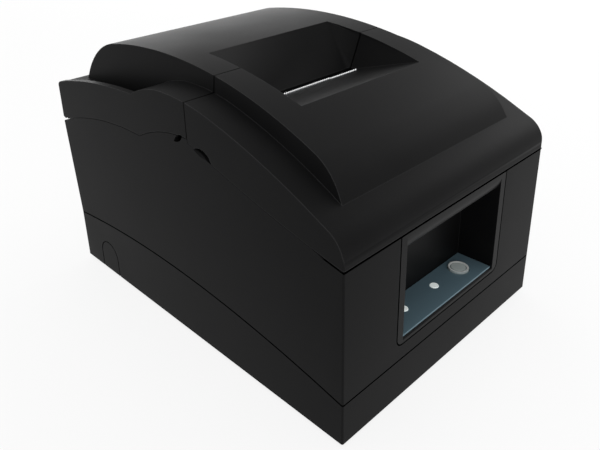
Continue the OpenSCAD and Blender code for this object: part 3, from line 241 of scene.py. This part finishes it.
EVEN = (1, 1, 1)
MAT = {
    "case": moulded("case_plastic", (0.0075, 0.0075, 0.0077), rough=0.46, wear_and_sheen=0.25,
                    Specular_IOR_Level=0.042),
    # Covers: strong paler edges, painted as wear and as edge highlight, and painted shade at their
    # split
    "covers": moulded("cover_plastic", (0.007, 0.007, 0.0072), rough=0.46, wear_and_sheen=0.8, wear_and_sheen_lift=0.03,
                      seam_y=SPLIT_Y - CASE_D / 2, Specular_IOR_Level=0.045),
    "bezel": moulded("bezel_plastic", (0.004, 0.004, 0.0042), rough=0.42, wear_and_sheen=0.4, wear_and_sheen_lift=0.03,
                     Specular_IOR_Level=0.075),
    "panel_film": moulded("panel_film", (0.135, 0.215, 0.26), rough=0.3, grain=900, bump=0.02,
                          spread=0.06, wear_and_sheen=0.2),
    "button_cap": button_face(),
    "lenses": moulded("lens_plastic", (0.95, 0.98, 0.97), rough=0.15, bump=0.0, spread=0.03,
                      wear_and_sheen=0.0, Emission_Color=(0.9, 1, 0.97, 1), Emission_Strength=0.3),
    "feet": moulded("foot_rubber", (0.014, 0.014, 0.014), rough=0.75, grain=900, bump=0.25),
    "steel_bright": metal("bright_steel", (0.62, 0.63, 0.65), rough=0.22),
    "bar_steel": metal("bar_steel", (0.93, 0.94, 0.95), rough=0.34, spread=0.05),
    "sheet_steel": metal("plated_sheet", (0.5, 0.51, 0.52), rough=0.36, stretch=EVEN, scale=260,
                         spread=0.2),
    "screws": metal("screw_steel", (0.5, 0.5, 0.52), rough=0.3, stretch=EVEN, scale=400),
    "rollers": moulded("roller_rubber", (0.02, 0.02, 0.021), rough=0.8, grain=700, bump=0.3),
    "nylon": moulded("white_nylon", (0.62, 0.6, 0.53), rough=0.45, spread=0.05, wear_and_sheen=0.1),
    "mech_plastic": moulded("mech_plastic", (0.018, 0.018, 0.02), rough=0.5),
    "head_alloy": metal("black_alloy", (0.05, 0.05, 0.055), rough=0.45, stretch=EVEN, scale=300),
    "cartridge": moulded("cartridge_plastic", (0.02, 0.021, 0.027), rough=0.38),
    "ribbon": moulded("inked_fabric", (0.008, 0.008, 0.014), rough=0.85, grain=3000, bump=0.5),
    "belt": moulded("belt_rubber", (0.012, 0.012, 0.012), rough=0.7, grain=1200, bump=0.3),
    "motor_can": moulded("motor_paint", (0.02, 0.02, 0.022), rough=0.4, grain=1500, bump=0.08),
    "brass": metal("pinion_brass", (0.72, 0.5, 0.2), rough=0.25),
    "board": board_laminate("circuit_board", (0.015, 0.09, 0.04)),
    "sockets": moulded("socket_plastic", (0.014, 0.014, 0.015), rough=0.4),
    # Painted shadow, for the dark strips in the case's gaps
    "gap": moulded("gap_shadow", (0.0004, 0.0004, 0.0004), rough=0.9, bump=0.3, wear_and_sheen=0.0,
                   Specular_IOR_Level=0.0),
}

SLOT_OF = {s["node"]: s["material_slot"] for s in frame["record"]["subparts"]}
# Width of the rounding on the edges of each carried-over node, in mm
EDGE = {"base_case": 0.12, "body_shell": 0.12, "front_cover": 0.2, "rear_cover": 0.2,
        "front_bezel": 0.2, "control_panel": 0.15, "feed_button": 0.35, "indicator_lenses": 0.3,
        "tear_bar": 0.1, "rubber_feet": 0.5, "print_head": 0.25, "ribbon_cartridge": 0.5,
        "carriage": 0.4, "paper_bucket": 0.4, "parallel_port": 0.3, "power_inlet": 0.3,
        "drawer_jack": 0.25, "power_switch": 0.3, "power_rocker": 0.3, "ribbon_knob": 0.3}


def soften(obj, width, angle=28, segments=2):
    """Rounds a node's edges by a width in mm, or keeps them sharp at 0."""
    me = obj.data
    if "custom_normal" in me.attributes:
        me.attributes.remove(me.attributes["custom_normal"])
    me.polygons.foreach_set("use_smooth", [True] * len(me.polygons))
    weld = obj.modifiers.new("weld", "WELD")
    weld.merge_threshold = 0.00001
    if width:
        flat = obj.modifiers.new("flat", "DECIMATE")
        flat.decimate_type = "DISSOLVE"
        flat.angle_limit = math.radians(0.6)
        bevel = obj.modifiers.new("bevel", "BEVEL")
        bevel.width = width * MM
        bevel.segments = segments
        bevel.limit_method = "ANGLE"
        bevel.angle_limit = math.radians(angle)
        bevel.harden_normals = True
        bevel.use_clamp_overlap = True
    else:
        split = obj.modifiers.new("split", "EDGE_SPLIT")
        split.split_angle = math.radians(angle)


for name, obj in NODES.items():
    obj.data.materials.clear()
    obj.data.materials.append(MAT["bar_steel" if name == "tear_bar" else SLOT_OF[name]])
    soften(obj, EDGE.get(name, 0))

# Painted shadow: dark strips in the case's gaps, standing in for the shade there
def painted_shadow_strip(name, stations, closed=False):
    """A dark bar of painted shadow on the case through stations of four corners each, in mm."""
    bm = bmesh.new()
    rows = [[bm.verts.new((x * MM, (y - CASE_D / 2) * MM, (z + FOOT_H) * MM)) for x, y, z in st]
            for st in stations]
    for a, b in zip(rows, rows[1:] + rows[:1] if closed else rows[1:]):
        for i in range(4):
            j = (i + 1) % 4
            bm.faces.new((a[i], a[j], b[j], b[i]))
    if not closed:
        bm.faces.new(rows[0][::-1])
        bm.faces.new(rows[-1])
    bmesh.ops.recalc_face_normals(bm, faces=bm.faces)
    me = bpy.data.meshes.new(name)
    bm.to_mesh(me)
    bm.free()
    me.materials.append(MAT["gap"])
    obj = bpy.data.objects.new(name, me)
    scene.collection.objects.link(obj)
    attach(obj, "case")


def rounded_path(half, y0, y1, r, per_side=24, per_corner=5):
    """Points round a rectangle with rounded corners, anticlockwise."""
    out = []
    corners = ((half - r, y0 + r, -90, (half, y1 - r)),
               (half - r, y1 - r, 0, (r - half, y1)),
               (r - half, y1 - r, 90, (-half, y0 + r)),
               (r - half, y0 + r, 180, (half - r, y0)))
    for cx, cy, a0, far in corners:
        for i in range(per_corner + 1):
            a = math.radians(a0 + 90 * i / per_corner)
            out.append((cx + r * math.cos(a), cy + r * math.sin(a)))
        lx, ly = out[-1]
        for i in range(1, per_side):
            t = i / per_side
            out.append((lx + (far[0] - lx) * t, ly + (far[1] - ly) * t))
    return out


def u_path(half, low, r, top, steps=8):
    """Points down one side, along the bottom and up the other side of the window's frame."""
    pts = [(half, top)]
    for cx, a0 in ((half - r, 0), (r - half, -90)):
        for i in range(steps + 1):
            a = math.radians(a0 - 90 * i / steps)
            pts.append((cx + r * math.cos(a), low + r + r * math.sin(a)))
    return pts + [(-half, top)]


def arch(y):
    """Height of the arched seam between the base and the body."""
    return ARCH_Z - ARCH_R + math.sqrt(ARCH_R * ARCH_R - (y - ARCH_Y) ** 2)


def cover_gap(side, swing=2.08):
    """The gap under the front cover's side, clear of the cover's turning edge."""
    rows = []
    for i in range(13):
        y = i - PROUD
        seam = SEAM_Z + SEAM_SLOPE * y + SEAM_CURVE * y * y
        bottom = seam - 1.0
        clear = TONGUE_Z - math.sqrt(max(0, swing ** 2 - (y - TONGUE_Y) ** 2))
        top = max(min(seam - 0.25, clear), bottom + 0.1)
        out, deep = side * (CASE_HALF + PROUD), side * (CASE_HALF - 0.2)
        rows.append(((out, y, bottom), (out, y, top), (deep, y, top), (deep, y, bottom)))
    return rows


# Painted shadow strips: along the base seam, round the window frame and in the gaps under the front
# cover
FACE_HALF, DEEP_HALF = 0.42, 0.28
outer = rounded_path(CASE_HALF + PROUD, -PROUD, BASE_D + PROUD, 0.9)
inner = rounded_path(CASE_HALF - 1.1, 1.1, BASE_D - 1.1, 0.5)
painted_shadow_strip("seam_painted_shadow", [((ox, oy, arch(oy) - FACE_HALF), (ox, oy, arch(oy) + FACE_HALF),
                      (ix, iy, arch(iy) + DEEP_HALF), (ix, iy, arch(iy) - DEEP_HALF))
                     for (ox, oy), (ix, iy) in zip(outer, inner)], closed=True)
outer = u_path(FRAME_HALF, FRAME_LOW, FRAME_R, FRAME_TOP)
inner = u_path(FRAME_HALF - FRAME_GAP, FRAME_LOW + FRAME_GAP, FRAME_R - FRAME_GAP, FRAME_TOP)
painted_shadow_strip("bezel_painted_shadow", [((ox, -PROUD, oz), (ox, 2, oz), (ix, 2, iz), (ix, -PROUD, iz))
                      for (ox, oz), (ix, iz) in zip(outer, inner)])
painted_shadow_strip("cover_painted_shadow_left", cover_gap(-1))
painted_shadow_strip("cover_painted_shadow_right", cover_gap(1))
painted_shadow_strip("cover_painted_shadow_front", [((x, -PROUD, LIP_LOW), (x, -PROUD, LIP_TOP),
                             (x, LIP_DEEP, LIP_TOP), (x, LIP_DEEP, LIP_LOW))
                            for x in (-79, -40, 0, 40, 79)])


def lit_for_show(nt):
    """1 for the camera's own rays and for those that shine or pass through, otherwise 0."""
    paths = nt.nodes.new("ShaderNodeLightPath")
    result = paths.outputs["Is Camera Ray"]
    for kind in ("Is Transmission Ray", "Is Glossy Ray"):
        either = nt.nodes.new("ShaderNodeMath")
        either.operation = "MAXIMUM"
        nt.links.new(result, either.inputs[0])
        nt.links.new(paths.outputs[kind], either.inputs[1])
        result = either.outputs["Value"]
    return result


# Floor: pale, white to the camera where no shadow lies
bpy.ops.mesh.primitive_plane_add(size=12, location=(0, 0, 0))
floor = bpy.context.object
floor.name = "floor"
m, nt, bsdf = material("floor_white")
bsdf.inputs["Base Color"].default_value = (0.9, 0.9, 0.9, 1)
bsdf.inputs["Roughness"].default_value = 0.9
bsdf.inputs["Specular IOR Level"].default_value = 0.1
glow = nt.nodes.new("ShaderNodeEmission")
glow.inputs["Strength"].default_value = 1.06
scale = nt.nodes.new("ShaderNodeMath")
scale.operation = "MULTIPLY"
scale.inputs[1].default_value = 0.8
nt.links.new(lit_for_show(nt), scale.inputs[0])
mixer = nt.nodes.new("ShaderNodeMixShader")
nt.links.new(scale.outputs[0], mixer.inputs["Fac"])
nt.links.new(bsdf.outputs[0], mixer.inputs[1])
nt.links.new(glow.outputs[0], mixer.inputs[2])
nt.links.new(mixer.outputs[0], nt.nodes["Material Output"].inputs["Surface"])
floor.data.materials.append(m)

# World: white to the camera, soft grey as a light
world = bpy.data.worlds.new("studio")
scene.world = world
world.use_nodes = True
wt = world.node_tree
wt.nodes.clear()
out = wt.nodes.new("ShaderNodeOutputWorld")
seen = wt.nodes.new("ShaderNodeBackground")
lit = wt.nodes.new("ShaderNodeBackground")
seen.inputs["Color"].default_value = (1, 1, 1, 1)
seen.inputs["Strength"].default_value = 1.0
lit.inputs["Color"].default_value = (1, 1, 1, 1)
lit.inputs["Strength"].default_value = 0.5
wmix = wt.nodes.new("ShaderNodeMixShader")
wt.links.new(lit_for_show(wt), wmix.inputs["Fac"])
wt.links.new(lit.outputs[0], wmix.inputs[1])
wt.links.new(seen.outputs[0], wmix.inputs[2])
wt.links.new(wmix.outputs[0], out.inputs["Surface"])


def lamp(name, spot, aim, size, power):
    """A rectangular soft light at a spot, turned to its aim."""
    data = bpy.data.lights.new(name, "AREA")
    data.shape = "RECTANGLE"
    data.size, data.size_y = size
    data.energy = power
    obj = bpy.data.objects.new(name, data)
    obj.location = spot
    obj.rotation_euler = (Vector(aim) - Vector(spot)).to_track_quat("-Z", "Y").to_euler()
    scene.collection.objects.link(obj)


lamp("top_light", (0, 0.3, 1.4), (0, 0, 0.1), (1.2, 1.0), 3)
lamp("right_light", (1.5, -0.1, 0.5), (0, 0, 0.1), (1.0, 0.7), 8)
lamp("rear_light", (1.0, 1.4, 0.3), (0, 0, 0.12), (1.2, 0.5), 4)
lamp("front_light", (-0.9, -1.1, 0.35), (0, 0, 0.08), (1.2, 0.5), 5)

scene.view_settings.view_transform = "Standard"
